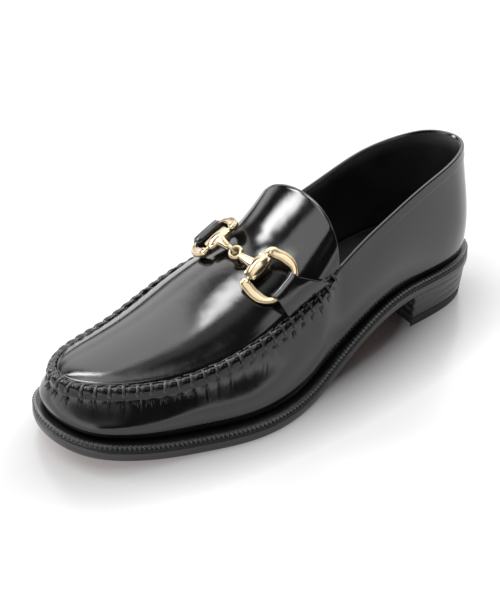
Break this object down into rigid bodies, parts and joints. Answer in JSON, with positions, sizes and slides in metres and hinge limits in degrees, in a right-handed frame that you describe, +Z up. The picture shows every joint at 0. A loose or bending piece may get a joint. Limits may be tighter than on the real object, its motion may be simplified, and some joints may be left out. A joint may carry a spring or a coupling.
{
  "type": "bit loafer",
  "caption": "Left moccasin-toe loafer in glossy black leather with a pale gold bit held by leather straps across the vamp.",
  "frame": {"origin": "on the floor, at the middle of the heel's tread", "axes": "+Y from heel to toe along the floor, +X to the inner (medial) side, +Z up"},
  "size_m": [0.1037, 0.29, 0.1006],
  "materials": {
    "sole_leather": "painted black, satin edge",
    "welt_leather": "painted black, satin",
    "insole_leather": "dull black lining leather",
    "heel_leather": "stacked, painted black, satin",
    "heel_rubber": "dull black rubber",
    "upper_leather": "black box leather polished to a high gloss",
    "strap_leather": "black box leather polished to a high gloss",
    "bit_metal": "pale gold plate, polished"
  },
  "bodies": {
    "root": {"outsole": "sole_leather", "welt": "welt_leather", "insole": "insole_leather", "heel_stack": "heel_leather", "top_lift": "heel_rubber", "upper": "upper_leather", "strap_medial": "strap_leather", "strap_lateral": "strap_leather", "bit_medial": "bit_metal", "bit_lateral": "bit_metal"}
  },
  "joints": []
}
